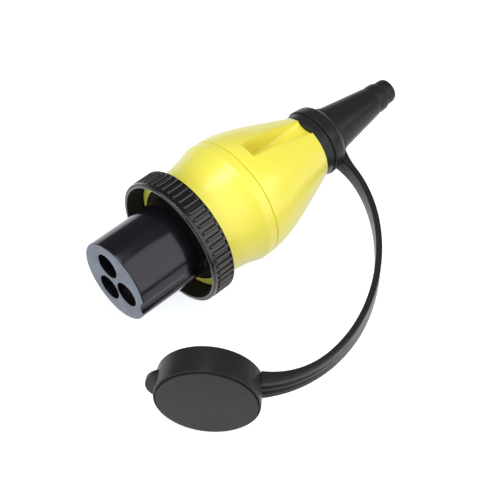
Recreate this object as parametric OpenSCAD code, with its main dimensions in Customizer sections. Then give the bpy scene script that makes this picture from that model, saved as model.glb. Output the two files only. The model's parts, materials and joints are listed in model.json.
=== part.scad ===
// Shore power plug with a ribbed coupling ring, a cable boot and a tethered cap.
// The origin is the centre of the mating face. +X runs along the plug to the cable, +Z is up.

/* [Contact insert] */
// Radius of the insert's nose
insert_r = 21; // [20:0.1:22]
// Length of the nose, from the mating face to the front seal
nose_len = 41.2; // [36:0.2:48]
// Width of the keyway along the nose
keyway_w = 9; // [6:0.5:11]
// Depth of the keyway's round floor
keyway_depth = 2.5; // [1:0.1:3]
// Direction of the keyway round the plug, from +Y towards +Z
keyway_angle = 185; // [170:1:200]
// Radius of the contact holes in the mating face
hole_r = 6.6; // [6:0.1:6.9]
// Depth of the wide mouth of each contact hole
hole_depth = 7.5; // [4:0.5:14]
// Radius of the circle on which the contacts stand
pattern_r = 8.8; // [8.5:0.1:9.6]
// Direction of the line contact round the plug, from +Y towards +Z
line_angle = 62; // [58:1:66]
// Direction of the neutral contact round the plug
neutral_angle = 298; // [296:1:302]
// Direction of the earth contact round the plug
earth_angle = 190; // [186:1:191]
// Rounding of the nose's front edge
nose_chamfer = 0.8; // [0.3:0.1:1.5]
// Reach of the insert's inner flange past the nose
insert_rim = 4.5; // [4:0.1:6]

/* [Contacts] */
// Outer radius of a contact sleeve
sleeve_r = 5.6; // [5:0.1:5.8]
// Bore of a contact sleeve
socket_r = 4.4; // [3.5:0.1:4.8]
// Depth of the bore in a contact sleeve
socket_depth = 36; // [25:1:38]
// Length of the terminal post behind the retainer
post_len = 9.5; // [8:0.5:12]
// Radius of the terminal post
post_r = 4.6; // [4:0.1:5]

/* [Front seal] */
// Outer radius of the flat seal round the nose
seal_r = 25; // [23.5:0.1:26.5]
// Thickness of the flat seal
seal_t = 2; // [1:0.1:3]

/* [Coupling ring] */
// Wall of the ring, from its bore to the foot of the ribs
ring_wall = 1.4; // [1:0.1:2.5]
// Length of the ring along the plug
ring_len = 12.4; // [9:0.2:16]
// Length of the plain band in front of the ribs
band_len = 2.6; // [1.5:0.1:4]
// Number of ribs
rib_count = 54; // [36:2:60]
// Radius of a rib's round back
rib_r = 1; // [0.7:0.05:1.3]
// Thickness of the inner lip that snaps behind the shell's flange
lip_t = 1.3; // [1:0.1:2]

/* [Front shell] */
// Wall of the neck round the insert's flange
neck_wall = 2.1; // [1.8:0.1:3]
// Reach of the flange that holds the ring, past the neck
flange_reach = 1.8; // [1.2:0.1:2.5]
// Thickness of that flange
flange_t = 1.2; // [0.8:0.1:2]
// Length of the front shell, from its front face to the parting line
front_len = 31.8; // [29:0.2:36]
// Width of the belt in front of the parting line
belt_w = 5.5; // [3:0.5:8]

/* [Rear shell] */
// Length of the rear shell, from the parting line to its rear edge
rear_len = 48.5; // [46:0.5:56]
// Height of the rear edge above the floor of the screw channels
rear_step = 1.9; // [1:0.1:3]
// Wall thickness
wall = 3.2; // [2.5:0.1:4]
// Width of a screw channel
channel_w = 10; // [8:0.1:11]
// Distance from the parting line to the deep end of a screw channel
channel_start = 7.5; // [6:0.5:12]
// Dip of a screw channel's round floor across its width
channel_dip = 1.2; // [0.4:0.1:1.2]
// Distance from a shell screw's axis down to the channel's floor, half-way along the dip
channel_drop = 4.5; // [4:0.1:5]
// Wall between a screw channel and the inside
channel_wall = 2.2; // [1.6:0.1:3]
// Turn of the screw channels round the plug, away from straight up and down
channel_turn = 4.5; // [0:0.5:10]

/* [Screws] */
// Distance of the shell screws' axes in from the belt
screw_inset = 12.6; // [12:0.1:13]
// Radius of a shell screw
shell_screw_r = 1.8; // [1.5:0.05:2.1]
// Radius of a shell screw's head
shell_head_r = 3.5; // [3:0.1:3.8]
// Radius of the small screws
small_screw_r = 1.1; // [0.9:0.05:1.2]
// Radius of the small screws' heads
small_head_r = 1.9; // [1.6:0.05:2]
// Height of the small screws' heads
small_head_h = 1.5; // [1:0.1:1.8]

/* [Cable parts] */
// Radius of the cable that the boot takes
cable_r = 4; // [3.5:0.1:4.2]
// Wall between the grommet's socket and a channel's wall
seat_wall = 0.5; // [0.3:0.1:1.5]
// Width of the step in the rear wall that holds the boot
boot_step = 2.3; // [1.5:0.1:3]
// Thickness of the rear wall
rear_wall = 4.6; // [3.5:0.1:5.5]
// Length of the grommet
grommet_len = 9; // [6:0.5:10]
// Width of the cord clamp along the plug
clamp_len = 10; // [8:0.5:11]

/* [Cable boot] */
// Step from the rear edge down to the boot's collar
collar_step = 0.5; // [0.2:0.1:1]
// Length of the collar
collar_len = 5.8; // [4:0.2:9]
// Radius of the groove that holds the cap's ring
groove_r = 10.5; // [9.5:0.1:11]
// Radius at the start of the cone
cone_r = 12.4; // [11.6:0.1:13]
// Length of the cone
cone_len = 30; // [24:0.5:34]
// Radius at the end of the cone
cone_tip_r = 7.9; // [7.4:0.1:8.4]
// Length of each of the two steps at the tip
step_len = 6.8; // [5:0.2:9]
// Drop in radius at each step
step_drop = 0.9; // [0.3:0.1:1]

/* [Tethered cap] */
// Outer radius of the cap
cap_r = 24.2; // [23.6:0.1:26]
// Depth of the cap
cap_depth = 14.5; // [12:0.5:20]
// Thickness of the cap's closed face
cap_face_t = 3; // [2:0.1:4]
// Outer radius of the ring round the boot
tether_ring_r = 13.2; // [12.6:0.1:14.5]
// Width of the ring round the boot
tether_ring_w = 13; // [11:0.1:16]
// Step from the boot's collar up to the rim at the front of the ring
rim_step = 0.8; // [0.4:0.1:2]
// Width of that rim
rim_w = 5.5; // [4:0.1:7]
// Height of the strap's section
strap_h = 10; // [8:0.5:11]
// Thickness of the strap
strap_t = 3.1; // [2.5:0.1:4]
// Reach of the thumb tab beyond the cap's edge
tab_reach = 4.5; // [3:0.5:6]

/* [Clearances] */
// Running gap between the ring and the front shell
ring_gap = 0.3; // [0.2:0.05:0.4]
// Room between the ring's bore and the flange that holds it
flange_gap = 1.2; // [0.8:0.1:2]
// Step from the belt down to the ribs, so that the ring turns clear of a table
ring_step = 0.1; // [0.05:0.05:0.5]
// Gap between pieces that slide together
slip_gap = 0.15; // [0.1:0.05:0.25]

/* [Hidden] */
$fn = 96;
eps = 0.01;
far = 100;

yellow = [0.96, 0.88, 0.16];
black = [0.09, 0.09, 0.10];
rubber = [0.16, 0.16, 0.17];
brass = [0.80, 0.64, 0.30];
steel = [0.70, 0.70, 0.72];

// Stations along the plug
front_x = nose_len + seal_t;
parting_x = front_x + front_len;
rear_x = parting_x + rear_len;

// Radii from the insert outwards to the belt
insert_flange_r = insert_r + insert_rim;
neck_r = insert_flange_r + neck_wall;
flange_r = neck_r + flange_reach;
ring_bore_r = flange_r + flange_gap;
ring_root_r = ring_bore_r + ring_wall;
ring_r = ring_root_r + rib_r;
belt_r = ring_r + ring_step;

// Radii from the belt inwards to the cable
shell_screw_z = belt_r - screw_inset;
channel_floor = shell_screw_z - channel_drop;
rear_r = channel_floor + rear_step;
clamp_floor = channel_floor - channel_wall;
channel_low = channel_floor - channel_dip / 2;
channel_floor_r = arc_r(channel_w / 2, channel_dip);
socket_seat_r = clamp_floor - seat_wall;
rear_hole_r = socket_seat_r - boot_step;

// Insert behind the nose
front_wall = 4;
seat_step = 0.6;
seat_r = insert_r - seat_step;
keyway_lip = insert_r - sqrt(insert_r ^ 2 - (keyway_w / 2) ^ 2);
keyway_r = arc_r(keyway_w / 2, keyway_depth - keyway_lip);
insert_flange_t = 3;
flange_x = front_x + front_wall;
boss_r = insert_r - 1.5;
boss_x = flange_x + insert_flange_t;
boss_len = 5.8;
retainer_x = boss_x + boss_len;
retainer_t = 2.5;
contact_collar_r = sleeve_r + 0.8;
contact_collar_t = boss_len - slip_gap;
insert_screw_circle = (insert_r + insert_flange_r) / 2;
insert_screw_turn = 35;
screw_bite = 3;
retainer_bite = 4;
terminal_x = retainer_x + retainer_t + post_len * 0.55;
wire_hole_r = post_r * 0.5;

// Coupling ring in its seat
lip_x = front_x + flange_t + ring_gap;
ring_back = lip_x + lip_t;
ring_x = ring_back - ring_len;
edge_round = ring_wall / 2;
rib_back = 0.4;
rib_ramp = 0.8 * rib_r;

// Front shell inside
shoulder_x = ring_back + ring_gap;
front_cavity_r = insert_flange_r + 1;
seal_lip_r = seal_r + slip_gap;
seal_lip_w = 0.7;
seal_lip_h = 1.2;
spigot_len = 3.3;
spigot_inset = 4.7;
spigot_r = belt_r - spigot_inset;
spigot_wall = 2.8;
spigot_gap = 0.4;
ledge_step = 0.3;
seam_chamfer = 0.4;
thread_insert_r = shell_screw_r + 1;
thread_insert_len = 8;
pillar_wall = 1.6;
pillar_w = 2 * (thread_insert_r + pillar_wall);
pillar_floor = shell_screw_z - pillar_w / 2;
pillar_clear = 1;
pillar_x = retainer_x + retainer_t + pillar_clear;
ledge_x = parting_x - spigot_len - spigot_gap;
pillar_end = ledge_x - ledge_step;

// Seal ring in the spigot's groove
seal_ring_r = 1;
seal_groove = 2 * seal_ring_r + slip_gap;
seal_half = seal_ring_r + slip_gap;
seal_ring_x = parting_x - spigot_len / 2;

// Rear shell inside
gland_len = 19.5;
cavity_end = rear_x - gland_len;
thick_rim = 4;
channel_end_wall = 3;
channel_x = parting_x + channel_start;
shell_head_h = 2.6;
seat_end_x = rear_x - rear_wall;
rear_round = 0.9;

// Boot in the rear wall
collar_r = rear_r - collar_step;
collar_round = 0.7;
boot_lip_t = 2.2;
boot_gap = 0.2;
boot_bore_r = cable_r + slip_gap;
boot_mouth_step = 1.2;
boot_mouth_r = boot_bore_r + boot_mouth_step;
boot_mouth_past = 1;
collar_x = rear_x + boot_gap;
boot_mouth_x = collar_x + boot_mouth_past;
tether_x = collar_x + collar_len;
cone_x = tether_x + tether_ring_w + 2 * slip_gap;
step_x = cone_x + cone_len;
tip_x = step_x + 2 * step_len;
boot_lip_x = seat_end_x - boot_lip_t - slip_gap;
washer_t = 1.4;
washer_x = boot_lip_x - washer_t - slip_gap;
grommet_x = washer_x - grommet_len - slip_gap;

// Cord clamp on the lower channel's inner wall
clamp_clear = 2;
clamp_x = cavity_end - clamp_len - clamp_clear;
clamp_split = 1;
clamp_roof = 2;
clamp_top = cable_r + clamp_roof;
clamp_screw_r = 1.6;
clamp_head_r = 3;
clamp_head_h = 1.8;
clamp_spread = 5.5;
clamp_edge = 1.5;
clamp_screw_y = cable_r + clamp_spread;
clamp_w = 2 * (clamp_screw_y + clamp_head_r + clamp_edge);

// Cap, standing on its edge level with the belt
cap_face_x = -10.5;
cap_face_y = -75;
cap_z = cap_r - belt_r;
cap_yaw = 221;
cap_bore_r = insert_r + 0.3;
cap_round = 1.3;
cap_rim_round = min(0.9, (cap_r - cap_bore_r) / 3);
face_rim_w = 1.7;
face_step = 1;
face_r = cap_r - face_rim_w;
tab_r = 10.2;
tab_t = 3;
tab_inset = 7.2;
strap_root = 12;
strap_rise = 0.8;
root_t = 6.5;
root_h = 14;
root_share = 0.22;
strap_steps = 36;
strap_edge = 0.9;

// Ring round the boot
tether_rim_r = collar_r + rim_step;
rim_round = 0.6;
rim_fall = 0.5;
rim_lead = 2.8;
band_flat = 1.5;

// Strap's root on the ring round the boot, and how the strap leaves its two ends in plan
root_angle = 208;
root_sink = 1.2;
root_back = 5.2;
fall_share = 0.08;
ring_share = 0.09;
ring_lead_x = -2.5;
ring_lead_y = -54.7;
cap_lead_x = 38.5;
cap_lead_y = -36.3;

// Handles of the shells' two outside curves: steps in radius and along the plug
shoulder_lead_r = 0.8;
shoulder_lead_x = 0.6;
shoulder_tail_r = 4.2;
shoulder_tail_x = 11.5;
rear_lead_r = 0.2;
rear_lead_x = 13;
rear_tail_r = 6.2;
rear_tail_x = 26;

// Points along a curve with four control points
function curve_at(p, t) =
    pow(1 - t, 3) * p[0] + 3 * t * pow(1 - t, 2) * p[1] + 3 * t * t * (1 - t) * p[2] + pow(t, 3) * p[3];
function curve(p, steps) = [for (i = [0:steps]) curve_at(p, i / steps)];
// Radius of an arc from half its width and its rise
function arc_r(half, rise) = (half ^ 2 + rise ^ 2) / (2 * rise);

// Quarter round in a profile, centred at c, from angle a to angle b
function arc(c, r, a, b, steps = 8) = [for (i = [0:steps])
    let (t = a + (b - a) * i / steps) c + r * [cos(t), sin(t)]];

// Direction out of the cap's closed face, and towards the strap's root
cap_out = [cos(cap_yaw), sin(cap_yaw)];
cap_side = [-sin(cap_yaw), cos(cap_yaw)];
strap_end = [cap_face_x, cap_face_y] + cap_side * (cap_r - 1) - cap_out * strap_root;
root_r = tether_ring_r - root_sink;
strap_start = [tether_x + slip_gap + tether_ring_w - root_back, root_r * cos(root_angle)];
strap_path = [strap_start, strap_start + [ring_lead_x, ring_lead_y],
    strap_end + [cap_lead_x, cap_lead_y], strap_end];
strap_start_z = root_r * sin(root_angle);
strap_end_z = cap_z + strap_rise;

// Outside of the shells as [radius, station] points
front_curve = curve([[neck_r + ring_gap, shoulder_x],
    [neck_r + ring_gap + shoulder_lead_r, shoulder_x + shoulder_lead_x],
    [belt_r - shoulder_tail_r, shoulder_x + shoulder_tail_x],
    [belt_r, parting_x - belt_w]], 20);
rear_curve = curve([[belt_r, parting_x],
    [belt_r - rear_lead_r, parting_x + rear_lead_x],
    [belt_r - rear_tail_r, parting_x + rear_tail_x],
    [rear_r, rear_x]], 28);

// Solid turned about the plug's axis from [radius, station] points
module turned(points) {
    rotate([0, 90, 0]) rotate_extrude() polygon(points);
}

// Round bar along the plug
module bar(x0, x1, r, y = 0, z = 0) {
    translate([x0, y, z]) rotate([0, 90, 0]) cylinder(h = x1 - x0, r = r);
}

// Places a child on the contact circle, or on each contact in turn
module at_contact(angle) {
    rotate([angle, 0, 0]) translate([0, pattern_r, 0]) children();
}

module at_contacts() {
    for (angle = [line_angle, neutral_angle, earth_angle]) at_contact(angle) children();
}

// Radial screw through a terminal post, outwards from the plug's axis
module at_terminal() {
    translate([terminal_x, 0, 0]) rotate([-90, 0, 0]) children();
}

module at_insert_screws() {
    for (i = [0:2]) rotate([keyway_angle + 180 + insert_screw_turn + 120 * i, 0, 0])
        translate([0, insert_screw_circle, 0]) children();
}

module contact_insert() color(black) difference() {
    turned([[0, 0], [insert_r - nose_chamfer, 0], [insert_r, nose_chamfer], [insert_r, nose_len],
        [seat_r, nose_len], [seat_r, flange_x], [insert_flange_r, flange_x], [insert_flange_r, boss_x],
        [boss_r, boss_x], [boss_r, retainer_x], [0, retainer_x]]);
    rotate([keyway_angle, 0, 0])
        bar(-eps, nose_len - seal_t, keyway_r, insert_r - keyway_depth + keyway_r);
    at_contacts() {
        bar(-eps, hole_depth, hole_r);
        bar(0, retainer_x, sleeve_r + slip_gap);
        bar(boss_x, retainer_x + eps, contact_collar_r + slip_gap);
    }
    at_insert_screws() bar(flange_x - eps, boss_x + eps, small_screw_r + slip_gap);
    bar(retainer_x - retainer_bite - 1, retainer_x + eps, small_screw_r);
}

// One turned contact: front socket, collar, terminal post with a wire hole
module contact() color(brass) difference() {
    union() {
        bar(hole_depth, boss_x + eps, sleeve_r);
        bar(boss_x, boss_x + contact_collar_t, contact_collar_r);
        bar(boss_x, retainer_x + retainer_t + post_len, post_r);
    }
    bar(hole_depth - eps, hole_depth + socket_depth, socket_r);
    bar(retainer_x + retainer_t, retainer_x + retainer_t + post_len + eps, wire_hole_r);
    at_terminal() cylinder(h = far, r = small_screw_r);
}

module contact_line() at_contact(line_angle) contact();
module contact_neutral() at_contact(neutral_angle) contact();
module contact_earth() at_contact(earth_angle) contact();

module terminal_screws() color(steel) at_contacts() at_terminal() {
    translate([0, 0, wire_hole_r - 1]) cylinder(h = post_r - wire_hole_r + 1 + eps, r = small_screw_r);
    translate([0, 0, post_r]) cylinder(h = small_head_h, r = small_head_r);
}

module contact_retainer() color(black) difference() {
    bar(retainer_x, retainer_x + retainer_t, boss_r);
    at_contacts() bar(retainer_x - eps, retainer_x + retainer_t + eps, post_r + slip_gap);
    bar(retainer_x - eps, retainer_x + retainer_t + eps, small_screw_r + slip_gap);
}

module retainer_screw() color(steel) {
    bar(retainer_x - retainer_bite, retainer_x + retainer_t + eps, small_screw_r);
    bar(retainer_x + retainer_t, retainer_x + retainer_t + small_head_h, small_head_r);
}

module insert_screws() color(steel) at_insert_screws() {
    bar(flange_x - screw_bite, boss_x + eps, small_screw_r);
    bar(boss_x, boss_x + small_head_h, small_head_r);
}

module front_seal() color(black) {
    edge = seal_t / 2.5;
    turned(concat([[seat_r + slip_gap, front_x], [seal_r, front_x]],
        arc([seal_r - edge, front_x - seal_t + edge], edge, 0, -90),
        [[seat_r + slip_gap, front_x - seal_t]]));
}

// Round ribs along the ring, with sloping ends
module ribs() intersection() {
    translate([ring_x, 0, 0]) rotate([0, 90, 0]) linear_extrude(ring_len)
        for (i = [0:rib_count - 1]) rotate((i + 0.5) * 360 / rib_count)
            translate([ring_root_r, 0]) circle(r = rib_r, $fn = 24);
    turned([[ring_bore_r + 0.5, ring_x + band_len], [ring_root_r, ring_x + band_len],
        [ring_r + 0.1, ring_x + band_len + rib_ramp], [ring_r + 0.1, ring_back - rib_back],
        [ring_r - rib_back, ring_back], [ring_bore_r + 0.5, ring_back]]);
}

module coupling_ring() color(black) {
    turned(concat(
        arc([ring_bore_r + edge_round, ring_x + edge_round], edge_round, 180, 270),
        arc([ring_root_r - edge_round, ring_x + edge_round], edge_round, 270, 360),
        [[ring_root_r, ring_back], [neck_r + ring_gap, ring_back],
            [neck_r + ring_gap, lip_x], [ring_bore_r, lip_x]]));
    ribs();
}

// Places a child at the upper or the lower screw channel, or at both
module at_channel(lower = 0) {
    rotate([channel_turn, 0, 0]) mirror([0, 0, lower]) children();
}

module at_channels() {
    for (lower = [0, 1]) at_channel(lower) children();
}

module front_shell() color(yellow) difference() {
    union() {
        difference() {
            turned(front_outside());
            turned([[0, boss_x], [front_cavity_r, boss_x], [front_cavity_r, ledge_x],
                [spigot_r + slip_gap, ledge_x], [spigot_r + slip_gap, parting_x + eps],
                [0, parting_x + eps]]);
        }
        at_channels() pillar();
    }
    bar(front_x - eps, flange_x + eps, seat_r + slip_gap);
    bar(flange_x, boss_x + eps, insert_flange_r + slip_gap);
    at_insert_screws() bar(flange_x - screw_bite, flange_x + eps, small_screw_r);
    at_channels() bar(pillar_end - thread_insert_len, pillar_end + eps, thread_insert_r, 0, shell_screw_z);
}

function front_outside() = concat(
    [[0, front_x], [seal_lip_r, front_x], [seal_lip_r, front_x - seal_lip_h],
        [seal_lip_r + seal_lip_w, front_x - seal_lip_h], [seal_lip_r + seal_lip_w, front_x],
        [flange_r, front_x], [flange_r, front_x + flange_t], [neck_r, front_x + flange_t],
        [neck_r, shoulder_x]],
    front_curve,
    [[belt_r, parting_x - seam_chamfer], [belt_r - seam_chamfer, parting_x], [0, parting_x]]);

// Pillar that takes a shell screw, grown out of the front shell's wall
module pillar() intersection() {
    translate([pillar_x, -pillar_w / 2, pillar_floor]) cube([pillar_end - pillar_x, pillar_w, far]);
    bar(pillar_x, pillar_end, front_cavity_r + 1);
}

module shell_seal() color(rubber) translate([seal_ring_x, 0, 0]) rotate([0, 90, 0])
    rotate_extrude() translate([spigot_r - seal_ring_r, 0]) circle(r = seal_ring_r, $fn = 32);

module rear_shell() color(yellow) difference() {
    union() {
        turned(rear_outside());
        bar(parting_x - spigot_len, parting_x + 1, spigot_r);
    }
    difference() {
        turned(rear_inside());
        at_channels() channel_block();
    }
    turned([[spigot_r - seal_groove, seal_ring_x - seal_half], [spigot_r + 1, seal_ring_x - seal_half],
        [spigot_r + 1, seal_ring_x + seal_half], [spigot_r - seal_groove, seal_ring_x + seal_half]]);
    bar(cavity_end - 1, seat_end_x, socket_seat_r);
    bar(seat_end_x - eps, rear_x + eps, rear_hole_r);
    at_channels() {
        channel_space();
        bar(channel_x - channel_end_wall - 1, channel_x + eps, shell_screw_r + slip_gap, 0, shell_screw_z);
    }
}

function rear_outside() = concat(
    [[0, parting_x], [belt_r - seam_chamfer, parting_x]],
    [for (p = rear_curve) if (p[1] > parting_x + seam_chamfer && p[1] < rear_x - rear_round) p],
    [[rear_r - rear_round / 2, rear_x - rear_round / 4], [rear_r - rear_round, rear_x], [0, rear_x]]);

function rear_inside() = concat(
    [[0, parting_x - spigot_len - eps], [spigot_r - spigot_wall, parting_x - spigot_len - eps],
        [spigot_r - spigot_wall, parting_x + thick_rim]],
    [for (p = rear_curve) if (p[1] > parting_x + thick_rim + 1 && p[1] < cavity_end) p - [wall, 0]],
    [[0, cavity_end]]);

// Space of a screw channel: upright sides and a round floor
module channel_space() {
    translate([channel_x, 0, 0]) rotate([90, 0, 90]) linear_extrude(far) intersection() {
        translate([-channel_w / 2, channel_low]) square([channel_w, far]);
        union() {
            translate([0, channel_low + channel_floor_r]) circle(channel_floor_r);
            translate([-far / 2, channel_low + channel_floor_r]) square(far);
        }
    }
}

// Wall of a screw channel, left standing inside the rear shell
module channel_block() {
    translate([channel_x - channel_end_wall, -channel_w / 2 - channel_wall, clamp_floor])
        cube([far, channel_w + 2 * channel_wall, far]);
}

module shell_screw() {
    bar(pillar_end - thread_insert_len, channel_x + eps, shell_screw_r, 0, shell_screw_z);
    difference() {
        bar(channel_x, channel_x + shell_head_h, shell_head_r, 0, shell_screw_z);
        translate([channel_x + shell_head_h - 1.2, -far / 2, shell_screw_z - 0.5]) cube([far, far, 1]);
    }
}

module shell_screw_top() color(steel) at_channel() shell_screw();
module shell_screw_bottom() color(steel) at_channel(1) shell_screw();

module screw_inserts() color(brass) at_channels() difference() {
    bar(pillar_end - thread_insert_len, pillar_end, thread_insert_r - 0.02, 0, shell_screw_z);
    bar(pillar_end - thread_insert_len - eps, pillar_end + eps, shell_screw_r + 0.02, 0, shell_screw_z);
}

module clamp_base() color(black) at_channel() difference() {
    translate([clamp_x, -clamp_w / 2, -clamp_floor]) cube([clamp_len, clamp_w, clamp_floor - clamp_split]);
    bar(clamp_x - eps, clamp_x + clamp_len + eps, cable_r + slip_gap);
    at_clamp_screws() translate([0, 0, -clamp_top]) cylinder(h = far, r = clamp_screw_r);
}

module clamp_bar() color(black) at_channel() difference() {
    translate([clamp_x, -clamp_w / 2, clamp_split]) cube([clamp_len, clamp_w, clamp_top - clamp_split]);
    bar(clamp_x - eps, clamp_x + clamp_len + eps, cable_r + slip_gap);
    at_clamp_screws() cylinder(h = far, r = clamp_screw_r + slip_gap);
}

module at_clamp_screws() {
    for (side = [-1, 1]) translate([clamp_x + clamp_len / 2, side * clamp_screw_y, 0]) children();
}

module clamp_screws() color(steel) at_channel() at_clamp_screws() {
    translate([0, 0, -clamp_top]) cylinder(h = 2 * clamp_top + eps, r = clamp_screw_r);
    translate([0, 0, clamp_top]) cylinder(h = clamp_head_h, r = clamp_head_r);
}

module cable_grommet() color(rubber) difference() {
    bar(grommet_x, grommet_x + grommet_len, socket_seat_r - slip_gap);
    bar(grommet_x - eps, grommet_x + grommet_len + eps, cable_r + slip_gap);
}

module grommet_washer() color(steel) difference() {
    bar(washer_x, washer_x + washer_t, socket_seat_r - slip_gap);
    bar(washer_x - eps, washer_x + washer_t + eps, cable_r + 1);
}

// Boot: wide mouth and lip inside the rear wall, collar outside, groove for the cap's ring, stepped cone
module cable_boot() color(rubber) turned(concat(
    [[boot_bore_r, boot_mouth_x + boot_mouth_step], [boot_mouth_r, boot_mouth_x],
        [boot_mouth_r, boot_lip_x], [socket_seat_r - slip_gap, boot_lip_x],
        [socket_seat_r - slip_gap, boot_lip_x + boot_lip_t],
        [rear_hole_r - slip_gap, boot_lip_x + boot_lip_t], [rear_hole_r - slip_gap, collar_x]],
    collar_outside(),
    [[groove_r, tether_x], [groove_r, cone_x]],
    cone_outside(),
    [[boot_bore_r, tip_x]]));

function collar_outside() = concat([[collar_r - collar_round, collar_x]],
    arc([collar_r - collar_round, collar_x + collar_round], collar_round, -90, 0),
    [[collar_r, collar_x + collar_len]]);

function cone_outside() = let (r1 = cone_tip_r - step_drop / 3, r2 = r1 - step_drop - 0.3, e = 0.8) concat(
    [[cone_r, cone_x], [cone_tip_r, step_x], [r1, step_x + 0.2], [r1 - 0.3, step_x + step_len],
        [r2, step_x + step_len + 0.6]],
    arc([r2 - 0.2 - e, tip_x - e], e, 0, 90, 5));

// Rounded section of the strap: [across, height] points
function strap_section(t, h) = let (e = strap_edge) concat(
    arc([t / 2 - e, h / 2 - e], e, 0, 90, 3), arc([e - t / 2, h / 2 - e], e, 90, 180, 3),
    arc([e - t / 2, e - h / 2], e, 180, 270, 3), arc([t / 2 - e, e - h / 2], e, 270, 360, 3));

// The strap thickens towards its two roots, and grows taller at the cap
function cap_flare(u) = pow(max(0, 1 - (1 - u) / root_share), 2);
function ring_flare(u) = pow(max(0, 1 - u / ring_share), 2);
function strap_thickness(u) =
    strap_t + (2 * (root_back - root_sink) - strap_t) * ring_flare(u) + (root_t - strap_t) * cap_flare(u);
function strap_height(u) = strap_h + (root_h - strap_h) * cap_flare(u);

function strap_at(u) = let (c = curve_at(strap_path, u), fall = pow(max(0, 1 - u / fall_share), 2))
    [c[0], c[1], strap_end_z + (strap_start_z - strap_end_z) * fall];

function strap_ring(i) =
    let (u = i / strap_steps, d = 0.001,
        along = strap_at(min(1, u + d)) - strap_at(max(0, u - d)),
        across = [-along[1], along[0], 0] / norm([along[0], along[1]]),
        up = cross(along, across) / norm(along))
    [for (p = strap_section(strap_thickness(u), strap_height(u)))
        strap_at(u) + p[0] * across + p[1] * up];

module strap() {
    count = len(strap_section(strap_t, strap_h));
    points = [for (i = [0:strap_steps]) each strap_ring(i)];
    last = strap_steps * count;
    polyhedron(points, concat(
        [[for (k = [0:count - 1]) k]],
        [for (i = [0:strap_steps - 1], k = [0:count - 1])
            let (a = i * count + k, b = i * count + (k + 1) % count)
                each [[a, a + count, b + count], [a, b + count, b]]],
        [[for (k = [count - 1:-1:0]) last + k]]), convexity = 6);
}

// Cap profile about its own axis: closed face at station 0, rim at -cap_depth
function cap_outside() = concat(
    [[0, -face_step], [face_r, -face_step]],
    arc([cap_r - cap_round, -cap_round], cap_round, 90, 0),
    arc([cap_r - cap_rim_round, cap_rim_round - cap_depth], cap_rim_round, 0, -90),
    [[cap_bore_r, -cap_depth], [cap_bore_r, -cap_face_t], [0, -cap_face_t]]);

module cap() translate([cap_face_x, cap_face_y, cap_z]) rotate([0, 90, cap_yaw]) {
    rotate_extrude() polygon(cap_outside());
    difference() {
        translate([0, tab_r - cap_r - tab_reach, -tab_t - tab_inset]) cylinder(h = tab_t, r = tab_r);
        translate([0, 0, -far / 2]) cylinder(h = far, r = (cap_bore_r + cap_r) / 2);
    }
}

// Ring round the boot: a rim over the boot's shoulder that falls to a narrower band
function tether_outside() = let (x0 = tether_x + slip_gap, x1 = x0 + tether_ring_w) concat(
    arc([tether_rim_r - rim_round, x0 + rim_round], rim_round, -90, 0),
    curve([[tether_rim_r - rim_fall, x0 + rim_w], [tether_rim_r - 2 * rim_fall, x0 + rim_w + rim_lead],
        [tether_ring_r, x0 + rim_w + rim_lead], [tether_ring_r, x1 - band_flat]], 12),
    [[tether_ring_r, x1]]);

module tethered_cap() color(rubber) {
    turned(concat(tether_outside(), [[groove_r + slip_gap, tether_x + slip_gap + tether_ring_w],
        [groove_r + slip_gap, tether_x + slip_gap]]));
    strap();
    cap();
}

contact_insert();
contact_line();
contact_neutral();
contact_earth();
terminal_screws();
contact_retainer();
retainer_screw();
insert_screws();
front_seal();
coupling_ring();
front_shell();
shell_seal();
rear_shell();
shell_screw_top();
shell_screw_bottom();
screw_inserts();
clamp_base();
clamp_bar();
clamp_screws();
cable_grommet();
grommet_washer();
cable_boot();
tethered_cap();
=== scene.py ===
"""Looks of a shore power plug: yellow body, black coupling ring and insert, rubber boot and tethered cap."""
import json
import math

import bmesh
import bpy
from mathutils import Matrix, Vector


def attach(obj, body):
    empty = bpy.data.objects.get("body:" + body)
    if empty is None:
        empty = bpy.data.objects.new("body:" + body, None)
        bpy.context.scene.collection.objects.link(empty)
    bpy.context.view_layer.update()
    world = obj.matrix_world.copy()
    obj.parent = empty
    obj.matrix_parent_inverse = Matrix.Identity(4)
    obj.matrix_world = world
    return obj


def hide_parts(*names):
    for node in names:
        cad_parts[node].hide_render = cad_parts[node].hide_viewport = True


# Sizes of the plug are in millimetres and angles in degrees. Camera, floor and lamps are in metres
MM = 0.001

# Stations along the plug's axis and radii that several pieces share
RING_X = 33.6
RING_BORE_R = 30.6
SEAT_X = 41.2
WALL_X = 43.2
WALL_BACK_X = 47.2
INSERT_FLANGE_X = 50.2
WALL_HOLE_R = 20.55
PARTING_X = 75.0
PARTING_HALF = 0.35
PARTING_DEPTH = 1.0
BELT_R = 32.1
SPIGOT_R = 28.6

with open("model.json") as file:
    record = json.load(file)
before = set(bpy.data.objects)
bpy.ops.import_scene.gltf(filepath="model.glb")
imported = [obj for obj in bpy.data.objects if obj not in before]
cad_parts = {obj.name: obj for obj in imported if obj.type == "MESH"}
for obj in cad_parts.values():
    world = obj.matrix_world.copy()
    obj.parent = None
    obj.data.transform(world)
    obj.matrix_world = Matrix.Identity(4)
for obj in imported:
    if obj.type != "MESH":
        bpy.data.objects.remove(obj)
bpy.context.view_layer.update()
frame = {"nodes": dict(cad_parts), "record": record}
nodes = frame["nodes"]
scene = bpy.context.scene
scene.view_settings.view_transform = "Standard"


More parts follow.
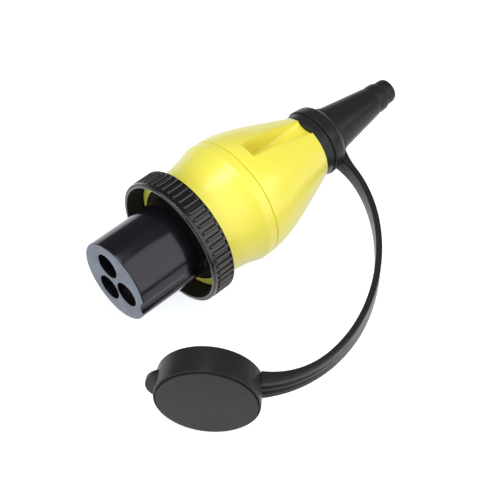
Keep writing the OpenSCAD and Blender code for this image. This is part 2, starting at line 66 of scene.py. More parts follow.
# Camera at the photograph's viewing angle
def add_camera():
    data = bpy.data.cameras.new("camera")
    data.sensor_width = 36.0
    data.lens = 98.99
    data.clip_start = 0.01
    camera = bpy.data.objects.new("camera", data)
    scene.collection.objects.link(camera)
    right = (0.72575, -0.68796, 0.0)
    up = (0.5311, 0.56027, 0.63564)
    back = (-0.4373, -0.46131, 0.77199)
    pose = Matrix((right, up, back)).transposed().to_4x4()
    pose.translation = (-0.226292, -0.330545, 0.503777)
    camera.matrix_world = pose
    scene.camera = camera


add_camera()


# Material helpers
def new_material(name):
    """A new material with its node tree and its shader."""
    mat = bpy.data.materials.new(name)
    mat.use_nodes = True
    return mat, mat.node_tree, mat.node_tree.nodes["Principled BSDF"]


def noise(tree, scale, detail, stretch=(1, 1, 1)):
    """Noise over the object's own coordinates."""
    coord = tree.nodes.new("ShaderNodeTexCoord")
    mapping = tree.nodes.new("ShaderNodeMapping")
    mapping.inputs["Scale"].default_value = stretch
    tex = tree.nodes.new("ShaderNodeTexNoise")
    tex.inputs["Scale"].default_value = scale
    tex.inputs["Detail"].default_value = detail
    tree.links.new(coord.outputs["Object"], mapping.inputs["Vector"])
    tree.links.new(mapping.outputs["Vector"], tex.inputs["Vector"])
    return tex.outputs["Fac"]


def spread(tree, value, low, high, start=0.3, end=0.7):
    """The value's range from start to end, spread from low to high."""
    node = tree.nodes.new("ShaderNodeMapRange")
    node.inputs["From Min"].default_value = start
    node.inputs["From Max"].default_value = end
    node.inputs["To Min"].default_value = low
    node.inputs["To Max"].default_value = high
    tree.links.new(value, node.inputs["Value"])
    return node.outputs["Result"]


def two_tone(tree, factor, first, second):
    """Colour between two tones."""
    node = tree.nodes.new("ShaderNodeMix")
    node.data_type = "RGBA"
    node.inputs["A"].default_value = (*first, 1)
    node.inputs["B"].default_value = (*second, 1)
    tree.links.new(factor, node.inputs["Factor"])
    return node.outputs["Result"]


def relief(tree, height, strength, depth):
    """Fine bumps with a depth in metres."""
    node = tree.nodes.new("ShaderNodeBump")
    node.inputs["Strength"].default_value = strength
    node.inputs["Distance"].default_value = depth
    tree.links.new(height, node.inputs["Height"])
    return node


def moulded(name, first, second, rough, grain, ior, sheen=0.0, tint=(1, 1, 1)):
    """Moulded plastic or rubber with faint flow marks and gloss patches. grain is (scale, strength)."""
    mat, tree, shader = new_material(name)
    grain_scale, grain_strength = grain
    flow = noise(tree, scale=55, detail=3.0, stretch=(0.5, 1, 1))
    tree.links.new(two_tone(tree, spread(tree, flow, 0, 1), first, second), shader.inputs["Base Color"])
    patches = noise(tree, scale=240, detail=4.0)
    tree.links.new(spread(tree, patches, *rough), shader.inputs["Roughness"])
    fine = noise(tree, scale=grain_scale, detail=2.0)
    broad = noise(tree, scale=90, detail=2.0)
    lower = relief(tree, broad, strength=0.25, depth=0.00006)
    upper = relief(tree, fine, strength=grain_strength, depth=0.00004)
    tree.links.new(lower.outputs["Normal"], upper.inputs["Normal"])
    tree.links.new(upper.outputs["Normal"], shader.inputs["Normal"])
    shader.inputs["IOR"].default_value = ior
    shader.inputs["Sheen Weight"].default_value = sheen
    shader.inputs["Specular Tint"].default_value = (*tint, 1)
    return mat


def metal(name, first, second, rough):
    """Turned metal with fine rings across its axis."""
    mat, tree, shader = new_material(name)
    stain = noise(tree, scale=160, detail=4.0)
    tree.links.new(two_tone(tree, spread(tree, stain, 0, 1), first, second), shader.inputs["Base Color"])
    lines = noise(tree, scale=900, detail=2.0, stretch=(6, 0.4, 0.4))
    tree.links.new(spread(tree, lines, *rough), shader.inputs["Roughness"])
    rings = relief(tree, lines, strength=0.2, depth=0.00003)
    tree.links.new(rings.outputs["Normal"], shader.inputs["Normal"])
    shader.inputs["Metallic"].default_value = 1.0
    return mat


# Masks over parts of a piece, and what uses them: a duller finish, and a lighter colour painted in as a
# reflection
def station(tree):
    """Place of a point along the plug's axis, in metres."""
    coord = tree.nodes.new("ShaderNodeTexCoord")
    axes = tree.nodes.new("ShaderNodeSeparateXYZ")
    tree.links.new(coord.outputs["Object"], axes.inputs["Vector"])
    return axes.outputs["X"]


def front_mask(mat, at):
    """1 on the flat that faces forward at station x = at, and 0 behind its rounded edges."""
    tree = mat.node_tree
    return spread(tree, station(tree), 1, 0, (at + 0.03) * MM, (at + 0.12) * MM)


def foot_mask(mat, start, end):
    """0 in front of station x = start, rising to 1 at x = end and behind it."""
    tree = mat.node_tree
    return spread(tree, station(tree), 0, 1, start * MM, end * MM)


def bore_mask(mat, radius):
    """1 within a radius of the plug's axis, and 0 outside it."""
    tree = mat.node_tree
    coord = tree.nodes.new("ShaderNodeTexCoord")
    across = tree.nodes.new("ShaderNodeVectorMath")
    across.operation = "MULTIPLY"
    across.inputs[1].default_value = (0, 1, 1)
    length = tree.nodes.new("ShaderNodeVectorMath")
    length.operation = "LENGTH"
    tree.links.new(coord.outputs["Object"], across.inputs[0])
    tree.links.new(across.outputs["Vector"], length.inputs[0])
    return spread(tree, length.outputs["Value"], 1, 0, radius * MM, (radius + 0.1) * MM)


def dull(mat, mask, rough):
    """Duller finish where the mask is 1."""
    tree = mat.node_tree
    gloss = tree.nodes["Principled BSDF"].inputs["Roughness"]
    mix = tree.nodes.new("ShaderNodeMix")
    tree.links.new(mask, mix.inputs["Factor"])
    tree.links.new(gloss.links[0].from_socket, mix.inputs["A"])
    mix.inputs["B"].default_value = rough
    tree.links.new(mix.outputs["Result"], gloss)


def painted_reflection(mat, mask, first, second):
    """Lighter, faintly clouded colour where the mask is 1: a painted reflection of the bright floor."""
    tree = mat.node_tree
    colour = tree.nodes["Principled BSDF"].inputs["Base Color"]
    cloud = two_tone(tree, spread(tree, noise(tree, scale=120, detail=3.0), 0, 1), first, second)
    mix = tree.nodes.new("ShaderNodeMix")
    mix.data_type = "RGBA"
    tree.links.new(mask, mix.inputs["Factor"])
    tree.links.new(colour.links[0].from_socket, mix.inputs["A"])
    tree.links.new(cloud, mix.inputs["B"])
    tree.links.new(mix.outputs["Result"], colour)


# Materials: two tones, range of roughness, then grain
yellow = moulded("body_yellow", (0.94, 0.85, 0.082), (0.92, 0.82, 0.066), (0.28, 0.35), (2600, 0.04),
                 ior=1.55, sheen=0.32)
insert_black = moulded("insert_black", (0.006, 0.005, 0.007), (0.009, 0.008, 0.011), (0.14, 0.19),
                       (2200, 0.03), ior=1.45, tint=(0.95, 0.92, 1.0))
# The mating face gets a light blue-grey painted reflection of the floor, and a duller finish
mating_face = front_mask(insert_black, 0)
painted_reflection(insert_black, mating_face, (0.098, 0.116, 0.156), (0.117, 0.140, 0.180))
dull(insert_black, mating_face, 0.36)
dull(insert_black, foot_mask(insert_black, 34.0, 38.5), 0.62)
ring_black = moulded("ring_black", (0.005, 0.005, 0.005), (0.008, 0.007, 0.007), (0.15, 0.21),
                     (3000, 0.06), ior=1.54, tint=(1.0, 0.96, 0.92))
# The ring's front face gets a light blue-grey painted reflection of the floor
ring_front_reflection = front_mask(ring_black, RING_X + 0.1)
painted_reflection(ring_black, ring_front_reflection, (0.055, 0.062, 0.078), (0.075, 0.083, 0.100))
dull(ring_black, bore_mask(ring_black, RING_BORE_R + 0.05), 0.75)
rubber = moulded("boot_rubber", (0.0155, 0.0155, 0.0165), (0.019, 0.019, 0.020), (0.30, 0.40),
                 (3400, 0.15), ior=1.28, sheen=0.02)
seal_rubber = moulded("seal_rubber", (0.005, 0.005, 0.005), (0.009, 0.009, 0.009), (0.50, 0.62),
                      (3400, 0.25), ior=1.10)
brass = metal("contact_brass", (0.78, 0.57, 0.24), (0.66, 0.46, 0.18), (0.18, 0.32))
steel = metal("screw_steel", (0.64, 0.64, 0.66), (0.52, 0.52, 0.54), (0.22, 0.36))
by_slot = {
    "body_yellow": yellow,
    "insert_black": insert_black,
    "ring_black": ring_black,
    "boot_rubber": rubber,
    "seal_rubber": seal_rubber,
    "contact_brass": brass,
    "screw_steel": steel,
}

slot_of = {part["node"]: part["material_slot"] for part in frame["record"]["subparts"]}

# Every solid takes its material. The inner pieces are shown as they are, and the others are replaced below
for name, slot in slot_of.items():
    nodes[name].data.materials.clear()
    nodes[name].data.materials.append(by_slot[slot])

# Angles beyond which an edge is shaded sharp
SHARP = 38
SHARP_RUBBER = 50

# Edges that turn more than this are rounded where a mesh is finished
BEVEL_ANGLE = 32

# Vertices nearer than this, in metres, are one
WELD = 1e-7

# Largest share of an edge that the rounding of a corner takes
MAX_REACH = 0.49

# Radius of the small flat at the axis, where a turned mesh starts and ends
HUB_R = 0.5


# Mesh helpers
def smooth(mesh, angle):
    """Shades a mesh smooth, apart from edges that turn more than the angle."""
    mesh.polygons.foreach_set("use_smooth", [True] * len(mesh.polygons))
    mesh.set_sharp_from_angle(angle=math.radians(angle))
    return mesh


def to_mesh(bm, name, angle):
    """Mesh of the faces in bm, all turned outward."""
    mesh = bpy.data.meshes.new(name)
    bmesh.ops.recalc_face_normals(bm, faces=bm.faces)
    bm.to_mesh(mesh)
    bm.free()
    return smooth(mesh, angle)


def around(x, r, a):
    """Point in metres at station x, radius r and angle a in radians."""
    return (x * MM, r * MM * math.cos(a), r * MM * math.sin(a))


def skin(bm, loops, closed=True):
    """Faces between each loop of vertices and the next. An open loop isn't joined at its ends."""
    for here, there in zip(loops, loops[1:]):
        count = len(here)
        for j in range(count if closed else count - 1):
            k = (j + 1) % count
            bm.faces.new((here[j], here[k], there[k], there[j]))


def bezier_at(a, b, c, d, t):
    """Point at share t of a cubic curve."""
    return (1 - t) ** 3 * a + 3 * t * (1 - t) ** 2 * b + 3 * t * t * (1 - t) * c + t ** 3 * d


def bezier(a, b, c, d, steps):
    """Points along a cubic curve."""
    a, b, c, d = Vector(a), Vector(b), Vector(c), Vector(d)
    return [tuple(bezier_at(a, b, c, d, i / steps)) for i in range(steps + 1)]


def rounded(corners, closed=True, steps=7):
    """Profile of (x, r) points from corners (x, r, radius), each corner rounded to its radius."""
    out = []
    count = len(corners)
    for i, (x, r, radius) in enumerate(corners):
        inner = closed or 0 < i < count - 1
        if radius == 0 or not inner:
            out.append((x, r))
            continue
        corner = Vector((x, r))
        a = Vector(corners[i - 1][:2]) - corner
        b = Vector(corners[(i + 1) % count][:2]) - corner
        half = a.angle(b) / 2
        reach = min(radius / math.tan(half), MAX_REACH * a.length, MAX_REACH * b.length)
        a = corner + a.normalized() * reach
        b = corner + b.normalized() * reach
        for k in range(steps + 1):
            t = k / steps
            out.append(tuple((1 - t) ** 2 * a + 2 * t * (1 - t) * corner + t * t * b))
    return out


def lathe(name, profile, segments=192, closed=True, angle=SHARP):
    """Mesh turned about X from (x, r) points in millimetres. An open profile gets flat ends."""
    bm = bmesh.new()
    rings = []
    for i in range(segments):
        a = 2 * math.pi * i / segments
        rings.append([bm.verts.new(around(x, r, a)) for x, r in profile])
    skin(bm, rings + rings[:1], closed)
    if not closed:
        bm.faces.new([ring[0] for ring in rings])
        bm.faces.new([ring[-1] for ring in rings])
    return to_mesh(bm, name, angle)


def place(name, mesh, body, solid):
    """Puts a mesh in the scene as a piece that rides on a body and stands for a solid."""
    obj = bpy.data.objects.new(name, mesh)
    scene.collection.objects.link(obj)
    obj.data.materials.clear()
    obj.data.materials.append(by_slot[slot_of[solid]])
    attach(obj, body)
    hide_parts(solid)


def finished(mesh, cutters, bevel):
    """The mesh with the cutters taken out of it and its sharp edges rounded."""
    obj = bpy.data.objects.new("work", mesh)
    scene.collection.objects.link(obj)
    helpers = []
    for cutter in cutters:
        helper = bpy.data.objects.new("cutter", cutter)
        scene.collection.objects.link(helper)
        helpers.append(helper)
        step = obj.modifiers.new("cut", "BOOLEAN")
        step.operation = "DIFFERENCE"
        step.solver = "EXACT"
        step.object = helper
    edges = obj.modifiers.new("edges", "BEVEL")
    edges.width = bevel * MM
    edges.segments = 3
    edges.limit_method = "ANGLE"
    edges.angle_limit = math.radians(BEVEL_ANGLE)
    bpy.context.view_layer.update()
    graph = bpy.context.evaluated_depsgraph_get()
    out = bpy.data.meshes.new_from_object(obj.evaluated_get(graph))
    for helper in helpers:
        bpy.data.objects.remove(helper)
    bpy.data.objects.remove(obj)
    out.materials.clear()
    return smooth(out, SHARP)


def turned_about(mesh, degrees, y=0.0):
    """Moves a mesh out along Y, then round the plug's axis."""
    mesh.transform(Matrix.Rotation(math.radians(degrees), 4, "X") @ Matrix.Translation((0, y * MM, 0)))
    return mesh


# Contact insert with its three holes and the keyway
INSERT_R = 21.0
WAIST_R = 20.4
INSERT_FLANGE_R = 25.5
INSERT_BACK_X = 56.0
INSERT_BACK_R = 19.5
PATTERN_R = 8.8
MOUTH_X = 7.5
MOUTH_R = 6.6
BORE_R = 5.75
SLEEVE_R = 5.6
SLEEVE_BORE_R = 4.4
SLEEVE_END_X = 43.5
POST_X = 55.85
POST_END_X = 68.0
POST_R = 4.6
POST_BORE_R = 0.5
SHOULDER_R = 6.4
KEYWAY_R = 6.04
KEYWAY_X = 39.2
KEYWAY_DEPTH = 2.5
KEYWAY_ANGLE = 185
CUTTER_X = -2
CUTTER_END_X = 60
CONTACTS = {"contact_line": 62, "contact_neutral": 298, "contact_earth": 190}
SLEEVE_X = {"contact_line": 7.5, "contact_neutral": 7.5, "contact_earth": 4.4}


def add_insert():
    body = lathe("contact_insert", rounded([
        (0, HUB_R, 0), (0, INSERT_R, 0.7), (SEAT_X, INSERT_R, 0.15), (SEAT_X, WAIST_R, 0),
        (WALL_BACK_X, WAIST_R, 0), (WALL_BACK_X, INSERT_FLANGE_R, 0.2),
        (INSERT_FLANGE_X, INSERT_FLANGE_R, 0.2), (INSERT_FLANGE_X, INSERT_BACK_R, 0),
        (INSERT_BACK_X, INSERT_BACK_R, 0.2), (INSERT_BACK_X, HUB_R, 0)], closed=False), closed=False)
    cutters = []
    hole = [(CUTTER_X, MOUTH_R), (MOUTH_X, MOUTH_R), (MOUTH_X, BORE_R), (CUTTER_END_X, BORE_R)]
    for angle in CONTACTS.values():
        cutters.append(turned_about(lathe("hole", hole, 72, False), angle, PATTERN_R))
    groove = lathe("keyway", [(CUTTER_X, KEYWAY_R), (KEYWAY_X, KEYWAY_R)], 144, False)
    cutters.append(turned_about(groove, KEYWAY_ANGLE, INSERT_R - KEYWAY_DEPTH + KEYWAY_R))
    place("insert", finished(body, cutters, 0.35), "plug", "contact_insert")


def add_contacts():
    for name, angle in CONTACTS.items():
        front = SLEEVE_X[name]
        sleeve = lathe(name, rounded([
            (front, SLEEVE_R, 0.4), (front, SLEEVE_BORE_R, 0.5), (SLEEVE_END_X, SLEEVE_BORE_R, 0),
            (SLEEVE_END_X, POST_BORE_R, 0), (POST_END_X, POST_BORE_R, 0), (POST_END_X, POST_R, 0.3),
            (POST_X, POST_R, 0), (POST_X, SHOULDER_R, 0.2), (INSERT_FLANGE_X, SHOULDER_R, 0.2),
            (INSERT_FLANGE_X, SLEEVE_R, 0)]), 72)
        place(name + "_sleeve", turned_about(sleeve, angle, PATTERN_R), "plug", name)


# Flat seal round the nose
SEAL_R = 25.0


def add_seal():
    seal = lathe("front_seal", rounded([
        (WALL_X, WALL_HOLE_R, 0.2), (WALL_X, SEAL_R, 0.2), (SEAT_X, SEAL_R, 0.8),
        (SEAT_X, WALL_HOLE_R, 0.2)]))
    place("seal", seal, "plug", "front_seal")


# Coupling ring with round ribs, a beaded front and a smooth rim at the rear
RIBS = 54
RING_BACK = 46.0
RING_LIP_R = 27.9
RING_LIP_X = 44.7
RIB_X = 36.2
RIB_R = 1.0
RIB_ROOT_R = 32.0
RIM_R = 32.8
REAR_RIM_X = 45.4
REAR_RIM_H = 0.95


def rib_height(x, s):
    """Height above the root at station x, s away from a rib's middle line: ribs, then the rear rim."""
    if x >= REAR_RIM_X:
        return REAR_RIM_H - max(0.0, x - (RING_BACK - 0.3))
    end = max(0.0, RIB_X + RIB_R - x) / RIB_R
    left = 1.0 - (s / RIB_R) ** 2 - end ** 2
    return RIB_R * math.sqrt(left) if left > 0 else 0.0


def add_ring():
    inside = rounded([
        (RING_BACK, RIB_ROOT_R, 0), (RING_BACK, RING_LIP_R, 0.25), (RING_LIP_X, RING_LIP_R, 0.25),
        (RING_LIP_X, RING_BORE_R, 0.4), (RING_X, RING_BORE_R, 0.4), (RING_X, 31.6, 0.3),
        (RING_X + 0.45, 31.85, 0.1), (RING_X + 0.45, 32.05, 0.1), (RING_X + 0.2, 32.25, 0.15),
        (RING_X + 0.6, RIM_R, 0.4), (RIB_X - 0.9, RIM_R, 0.3), (RIB_X - 0.5, RIB_ROOT_R, 0.2),
        (RIB_X - 0.1, RIB_ROOT_R, 0)], closed=False)
    stations = [RIB_X + RIB_R * t for t in (0.0, 0.03, 0.12, 0.28, 0.5, 0.75, 1.0)]
    stations += [38.5, 40.5, 42.5, 44.0, REAR_RIM_X - 0.25, REAR_RIM_X, 45.7, 45.85, RING_BACK]
    offsets = [-1.5, -1.15, -1.0, -0.97, -0.87, -0.68, -0.4, 0.0, 0.4, 0.68, 0.87, 0.97, 1.0, 1.15, 1.5]
    bm = bmesh.new()
    columns = []
    for i in range(RIBS):
        for s in offsets:
            a = 2 * math.pi * i / RIBS + s / RIB_ROOT_R
            points = inside + [(x, RIB_ROOT_R + rib_height(x, s)) for x in stations]
            columns.append([bm.verts.new(around(x, r, a)) for x, r in points])
    skin(bm, columns + columns[:1])
    bmesh.ops.remove_doubles(bm, verts=bm.verts, dist=WELD)
    place("ring", to_mesh(bm, "coupling_ring", SHARP_RUBBER), "ring", "coupling_ring")


# Front shell with the lip round the seal, the flange and the belt
BELT_X = 69.8
SHOULDER_END = 66.5
NECK_X = 46.3
NECK_R = 27.9
LIP_X = 42.0
SHELL_FLANGE_X = 44.4
SHELL_FLANGE_R = 29.4
RACE_R = 27.6
LIP_R = 25.85
SEAL_POCKET_R = 25.15
SOCKET_R = 25.65
CAVITY_R = 26.5
RECESS_X = 71.3


def add_front_shell():
    shoulder = bezier((NECK_X, NECK_R), (46.9, 28.5), (57.5, 27.6), (BELT_X, BELT_R), 36)
    profile = [(x, r, 0) for x, r in shoulder if x < SHOULDER_END]
    profile += [
        (BELT_X, BELT_R, 2.5), (PARTING_X - PARTING_HALF, BELT_R, 0.1),
        (PARTING_X, BELT_R - PARTING_DEPTH, 0.1), (PARTING_X, SPIGOT_R, 0), (RECESS_X, SPIGOT_R, 0),
        (RECESS_X, CAVITY_R, 0), (INSERT_FLANGE_X, CAVITY_R, 0), (INSERT_FLANGE_X, SOCKET_R, 0),
        (WALL_BACK_X, SOCKET_R, 0), (WALL_BACK_X, WALL_HOLE_R, 0), (WALL_X, WALL_HOLE_R, 0.15),
        (WALL_X, SEAL_POCKET_R, 0), (LIP_X, SEAL_POCKET_R, 0.2), (LIP_X, LIP_R, 0.2), (WALL_X, LIP_R, 0.15),
        (WALL_X, SHELL_FLANGE_R, 0.3), (SHELL_FLANGE_X, SHELL_FLANGE_R, 0.3), (SHELL_FLANGE_X, RACE_R, 0),
        (NECK_X, RACE_R, 0)]
    place("front_body", lathe("front_shell", rounded(profile), 224), "plug", "front_shell")


# Rear shell with its two screw channels
CHANNEL_X = 82.5
REAR_X = 123.5
REAR_R = 17.9
REAR_HOLE_R = 11.0
CHANNEL_HALF = 5.0
CHANNEL_LOW = 15.1
CHANNEL_RISE = 2.8
CHANNEL_POWER = 2.2
CHANNEL_TURN = 4.5
SIDE_STEPS = 46


def channel_floor(y):
    """Height of a channel's floor across its width: hollow in the middle and round into the walls."""
    share = max(0, 1 - (abs(y) / CHANNEL_HALF) ** CHANNEL_POWER)
    return CHANNEL_LOW + CHANNEL_RISE * (1 - share ** (1 / CHANNEL_POWER))


def add_rear_shell():
    curve = bezier((PARTING_X, BELT_R), (87.5, 32.2), (100.5, 26.4), (REAR_X, REAR_R), 300)

    def radius(x):
        for (x0, r0), (x1, r1) in zip(curve, curve[1:]):
            if x <= x1:
                return r0 + (r1 - r0) * (x - x0) / (x1 - x0)
        return curve[-1][1]

    # Rows of (station, radius, whether the channels are cut there)
    rows = [(PARTING_X, SPIGOT_R, False), (PARTING_X, BELT_R - PARTING_DEPTH, False)]
    rows += [(PARTING_X + PARTING_HALF, BELT_R - 0.01, False)]
    rows += [(x, radius(x), False) for x in (76.5, 78, 79.5, 80.5, 81.3, 82.0, CHANNEL_X)]
    rows += [(CHANNEL_X, radius(CHANNEL_X), True)]
    rows += [(x, radius(x), True) for x in (83.0, 83.8, 85)]
    rows += [(86 + 1.25 * i, radius(86 + 1.25 * i), True) for i in range(30)]
    rows += [(REAR_X, REAR_R, True), (REAR_X, REAR_HOLE_R, False), (REAR_X - 4, REAR_HOLE_R, False)]

    # Points across the top as (y, whether they lie in the channel), closer together at its walls
    half = CHANNEL_HALF
    near = (0, 0.04, 0.14, 0.32, 0.6, 1.0, 1.6, 2.4, 3.6, 5)
    middle = [(half - d, True) for d in near] + [(d - half, True) for d in reversed(near[:-1])]
    outer = [(half + d, False) for d in (4, 3, 2.1, 1.3, 0.7, 0)]
    lid = outer + middle + [(-y, False) for y, _ in reversed(outer)]
    bm = bmesh.new()
    loops = []
    for x, r, deep in rows:
        loop = []
        edge = math.acos(lid[0][0] / r)
        for sign in (1, -1):
            for y, inner in lid:
                z = math.sqrt(r * r - y * y)
                if deep and inner:
                    z = min(z, channel_floor(y))
                loop.append((sign * y, sign * z))
            for k in range(1, SIDE_STEPS):
                a = math.pi - edge + 2 * edge * k / SIDE_STEPS
                loop.append((sign * r * math.cos(a), sign * r * math.sin(a)))
        loops.append([bm.verts.new((x * MM, y * MM, z * MM)) for y, z in loop])
    skin(bm, loops)
    bmesh.ops.remove_doubles(bm, verts=bm.verts, dist=WELD)
    bmesh.ops.dissolve_degenerate(bm, edges=bm.edges, dist=WELD)
    mesh = to_mesh(bm, "rear_shell", SHARP)
    mesh = turned_about(finished(mesh, [], 0.45), CHANNEL_TURN)
    place("rear_body", mesh, "plug", "rear_shell")


# Cable boot: collar, groove for the cap's ring, cone and stepped tip
BOOT_X = 116.55
BOOT_FLANGE_X = 118.75
BOOT_MOUTH_R = 4.15
BOOT_BORE_R = 5.35
BOOT_FLANGE_R = 13.15
BOOT_NECK_R = 10.85
COLLAR_X = 123.7
COLLAR_R = 17.4
COLLAR_END_X = 129.5
BOOT_GROOVE_R = 10.5
CONE_X = 142.8
CONE_R = 12.4
TIP_X = 186.4


def add_boot():
    profile = rounded([
        (125.9, BOOT_MOUTH_R, 0), (124.7, BOOT_BORE_R, 0), (BOOT_X, BOOT_BORE_R, 0),
        (BOOT_X, BOOT_FLANGE_R, 0.2), (BOOT_FLANGE_X, BOOT_FLANGE_R, 0.2), (BOOT_FLANGE_X, BOOT_NECK_R, 0),
        (COLLAR_X, BOOT_NECK_R, 0), (COLLAR_X, COLLAR_R, 0.7), (COLLAR_END_X, COLLAR_R, 0.35),
        (COLLAR_END_X, BOOT_GROOVE_R, 0), (CONE_X, BOOT_GROOVE_R, 0), (CONE_X, CONE_R, 0.4),
        (172.6, 7.93, 0.5), (173.3, 7.4, 0.5), (176.0, 7.7, 2.0), (179.2, 7.5, 1.0), (180.3, 6.35, 0.6),
        (182.5, 6.6, 1.5), (185.0, 6.5, 1.0), (TIP_X, 5.9, 0.7), (TIP_X, BOOT_MOUTH_R, 0.4)])
    place("boot", lathe("cable_boot", profile, 160), "plug", "cable_boot")


# Tethered cap: ring round the boot, strap, and cap with a thumb tab
TETHER_X = 129.65
TETHER_END_X = 142.65
TETHER_BORE_R = 10.65
TETHER_RIM_R = 18.2
TETHER_BAND_R = 13.2

# The cap, its face, its place and its tab
CAP_R = 24.2
CAP_BORE_R = 21.3
CAP_DEPTH = 14.5
CAP_WALL = 3.0
CAP_EDGE = 0.65
CAP_FRONT = -0.7
FACE_X = -0.02
FACE_R = 23.0
FACE_GROOVE_X = -1.8
FACE_GROOVE_R = 23.5
CAP_CENTRE = (-10.5, -75.0, -8.9)
CAP_YAW = 221
CAP_PLACE = (Matrix.Translation([v * MM for v in CAP_CENTRE])
             @ Matrix.Rotation(math.radians(CAP_YAW), 4, "Z"))
TAB_R = 10.2
TAB_FRONT = -7.2
TAB_BACK = -10.2
TAB_OUT = 18.5

# The strap's section, its bow and swell, and its two ends
STRAP_STEPS = 120
STRAP_T = 3.1
STRAP_H = 10.0
STRAP_EDGE = 0.9
STRAP_LOW = -8.1
STRAP_BOW = 0.7
STRAP_BOW_SHARE = 0.72
STRAP_DIP = 1.8
STRAP_SWELL = 1.8
STRAP_ROOT_X = 137.45
STRAP_ROOT_R = 12
STRAP_ROOT_ANGLE = 208
STRAP_ROOT_T = 8.0
STRAP_LEAD = (-2.5, -54.7)
CAP_ROOT = 12
CAP_ROOT_T = 6.5
CAP_ROOT_RISE = 3.5
CAP_LEAD = (38.5, -36.3)

# The strap's grooves near the cap, with half widths and places as shares of its height
STRAP_GROOVE_DEPTH = 1.0
STRAP_GROOVE_HALF = 0.08
STRAP_GROOVES_AT = (0.34, 0.68)
STRAP_GROOVE_STEPS = 24


def tether_ring():
    """Ring that sits in the boot's groove."""
    fall = bezier((135.15, 17.7), (137.95, 17.2), (137.95, TETHER_BAND_R), (141.15, TETHER_BAND_R), 16)
    corners = [(TETHER_X, TETHER_BORE_R, 0.2), (TETHER_X, TETHER_RIM_R, 0.6)]
    corners += [(x, r, 0) for x, r in fall]
    corners += [(TETHER_END_X, TETHER_BAND_R, 0.5), (TETHER_END_X, TETHER_BORE_R, 0.2)]
    return lathe("tether_ring", rounded(corners), 160, angle=SHARP_RUBBER)


def near_end(way, share):
    """1 at an end of the strap, falling to 0 at a share of its length."""
    return max(0, 1 - way / share)


def strap_point(u):
    """Middle of the strap at share u of its way from the boot to the cap."""
    yaw = math.radians(CAP_YAW)
    out = Vector((math.cos(yaw), math.sin(yaw)))
    side = Vector((-math.sin(yaw), math.cos(yaw)))
    end = Vector(CAP_CENTRE[:2]) + side * (CAP_R - 1) - out * CAP_ROOT
    root = math.radians(STRAP_ROOT_ANGLE)
    start = Vector((STRAP_ROOT_X, STRAP_ROOT_R * math.cos(root)))
    plan = bezier_at(start, start + Vector(STRAP_LEAD), end + Vector(CAP_LEAD), end, u)
    fall = near_end(u, 0.08) ** 2
    dip = STRAP_DIP * math.sin(math.pi * u) ** 2
    up = STRAP_LOW - dip + (STRAP_ROOT_R * math.sin(root) - STRAP_LOW) * fall
    return Vector((plan.x, plan.y, up))


def strap_section(u):
    """Outline of the strap as (across, up) points: rounded edges, and two grooves outside near the cap."""
    at_ring = near_end(u, 0.09) ** 2
    at_cap = near_end(1 - u, 0.22) ** 2
    thick = STRAP_T + (STRAP_ROOT_T - STRAP_T) * at_ring + (CAP_ROOT_T - STRAP_T) * at_cap
    tall = STRAP_H + STRAP_SWELL * math.sin(math.pi * u) ** 2 + CAP_ROOT_RISE * near_end(1 - u, 0.35) ** 2
    flat_t = thick / 2 - STRAP_EDGE
    flat_h = tall / 2 - STRAP_EDGE
    points = []
    for cx, cy, start in ((1, 1, 0), (-1, 1, 90), (-1, -1, 180), (1, -1, 270)):
        for k in range(7):
            a = math.radians(start + 15 * k)
            points.append((cx * flat_t + STRAP_EDGE * math.cos(a), cy * flat_h + STRAP_EDGE * math.sin(a)))
    depth = STRAP_GROOVE_DEPTH * near_end(1 - u, 0.24)
    for i in range(1, STRAP_GROOVE_STEPS):
        t = i / STRAP_GROOVE_STEPS
        dip = max(math.exp(-((t - middle) / STRAP_GROOVE_HALF) ** 2) for middle in STRAP_GROOVES_AT)
        points.append((thick / 2 - depth * dip, (2 * t - 1) * flat_h))
    return points


def strap():
    """Strap swept from the ring to the cap."""
    bm = bmesh.new()
    loops = []
    for i in range(STRAP_STEPS + 1):
        u = i / STRAP_STEPS
        along = strap_point(min(1, u + 0.001)) - strap_point(max(0, u - 0.001))
        across = Vector((-along.y, along.x, 0)).normalized()
        up = along.cross(across).normalized()
        bow = STRAP_BOW * math.sin(math.pi * min(1, u / STRAP_BOW_SHARE))
        loops.append([bm.verts.new((strap_point(u) + (a + bow) * across + b * up) * MM)
                      for a, b in strap_section(u)])
    skin(bm, loops)
    bm.faces.new(loops[0])
    bm.faces.new(loops[-1])
    return to_mesh(bm, "strap", SHARP_RUBBER)


def cap():
    """Cap with its face proud of the rim, and a narrow groove between them."""
    face = [(FACE_X, HUB_R, 0), (FACE_X, FACE_R, 0.15), (FACE_GROOVE_X, FACE_R, 0.1),
            (FACE_GROOVE_X, FACE_GROOVE_R, 0.1), (CAP_FRONT, FACE_GROOVE_R, 0.02)]
    edge = []
    for k in range(9):
        a = math.pi / 2 * k / 8
        x = CAP_FRONT + CAP_EDGE * (math.cos(a) - 1)
        edge.append((x, CAP_R - CAP_EDGE * (1 - math.sin(a)), 0))
    back = [(-CAP_DEPTH, CAP_R, 0.9), (-CAP_DEPTH, CAP_BORE_R, 0.4), (-CAP_WALL, CAP_BORE_R, 0.6),
            (-CAP_WALL, HUB_R, 0)]
    outside = rounded(face + edge + back, closed=False)
    mesh = lathe("cap", outside, 192, closed=False, angle=SHARP_RUBBER)
    mesh.transform(CAP_PLACE)
    return mesh


def tab():
    """Thumb tab at the cap's edge."""
    outline = rounded([
        (TAB_BACK, HUB_R, 0), (TAB_BACK, TAB_R, 0.5), (TAB_FRONT, TAB_R, 0.5),
        (TAB_FRONT, HUB_R, 0)], closed=False)
    disc = lathe("tab", outline, 96, closed=False, angle=SHARP_RUBBER)
    disc.transform(CAP_PLACE @ Matrix.Translation((0, -TAB_OUT * MM, 0)))
    return disc


def add_tethered_cap():
    bm = bmesh.new()
    for mesh in (tether_ring(), strap(), cap(), tab()):
        bm.from_mesh(mesh)
    place("tether", to_mesh(bm, "tethered_cap", SHARP_RUBBER), "plug", "tethered_cap")


add_insert()
add_contacts()
add_seal()
add_ring()
add_front_shell()
add_rear_shell()
add_boot()
add_tethered_cap()

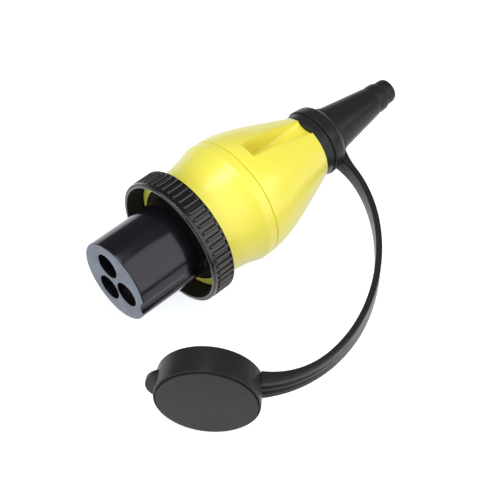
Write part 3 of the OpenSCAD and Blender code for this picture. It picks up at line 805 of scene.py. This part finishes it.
# Studio: white floor, dim surroundings, soft boxes
FLOOR_Z = -33.15 * MM
FLOOR_HALF = 3.0
FLOOR_GLOW = 0.8
LAMP_TARGET = (0.07, -0.03, 0.0)


def add_floor():
    """Pale floor that keeps shadows, and glows to white for the eye and for reflections only."""
    bm = bmesh.new()
    bmesh.ops.create_grid(bm, x_segments=1, y_segments=1, size=FLOOR_HALF)
    mesh = to_mesh(bm, "floor", SHARP)
    mesh.transform(Matrix.Translation((0, 0, FLOOR_Z)))
    floor = bpy.data.objects.new("floor", mesh)
    scene.collection.objects.link(floor)
    mat = bpy.data.materials.new("floor_white")
    mat.use_nodes = True
    tree = mat.node_tree
    tree.nodes.clear()
    diffuse = tree.nodes.new("ShaderNodeBsdfDiffuse")
    diffuse.inputs["Color"].default_value = (0.55, 0.55, 0.55, 1)
    glow = tree.nodes.new("ShaderNodeEmission")
    glow.inputs["Color"].default_value = (0.95, 0.975, 1.0, 1)
    path = tree.nodes.new("ShaderNodeLightPath")
    seen = tree.nodes.new("ShaderNodeMath")
    seen.operation = "MAXIMUM"
    shown = tree.nodes.new("ShaderNodeMath")
    shown.operation = "MAXIMUM"
    level = tree.nodes.new("ShaderNodeMath")
    level.operation = "MULTIPLY"
    level.inputs[1].default_value = FLOOR_GLOW
    both = tree.nodes.new("ShaderNodeAddShader")
    out = tree.nodes.new("ShaderNodeOutputMaterial")
    tree.links.new(path.outputs["Is Camera Ray"], seen.inputs[0])
    tree.links.new(path.outputs["Is Glossy Ray"], seen.inputs[1])
    tree.links.new(seen.outputs[0], shown.inputs[0])
    tree.links.new(path.outputs["Is Transmission Ray"], shown.inputs[1])
    tree.links.new(shown.outputs[0], level.inputs[0])
    tree.links.new(level.outputs[0], glow.inputs["Strength"])
    tree.links.new(diffuse.outputs[0], both.inputs[0])
    tree.links.new(glow.outputs[0], both.inputs[1])
    tree.links.new(both.outputs[0], out.inputs["Surface"])
    mesh.materials.append(mat)


def add_lamp(name, position, size, watts, colour=(1, 1, 1)):
    """Soft box that faces the part."""
    data = bpy.data.lights.new(name, "AREA")
    data.shape = "RECTANGLE"
    data.size, data.size_y = size
    data.energy = watts
    data.color = colour
    lamp = bpy.data.objects.new(name, data)
    scene.collection.objects.link(lamp)
    lamp.location = position
    lamp.rotation_euler = (Vector(LAMP_TARGET) - Vector(position)).to_track_quat("-Z", "Y").to_euler()


def add_world():
    """Dim, faintly blue surroundings."""
    world = bpy.data.worlds.new("studio")
    world.use_nodes = True
    sky = world.node_tree.nodes["Background"]
    sky.inputs["Color"].default_value = (0.86, 0.93, 1.0, 1)
    sky.inputs["Strength"].default_value = 0.16
    scene.world = world


add_floor()
add_world()
add_lamp("right_box", (0.36, -0.78, 0.62), (0.78, 1.7), 8.2, (1.0, 0.98, 0.98))
add_lamp("top_box", (0.06, 0.15, 1.25), (0.5, 0.5), 6.4)
add_lamp("left_box", (-0.95, 0.42, 0.42), (0.8, 0.7), 6.0, (0.88, 0.94, 1.0))
add_lamp("rear_box", (0.80, -0.62, 0.50), (0.36, 0.36), 1.1)
add_lamp("front_box", (-1.0, -0.50, 0.50), (0.45, 0.45), 3.6, (0.95, 0.98, 1.0))
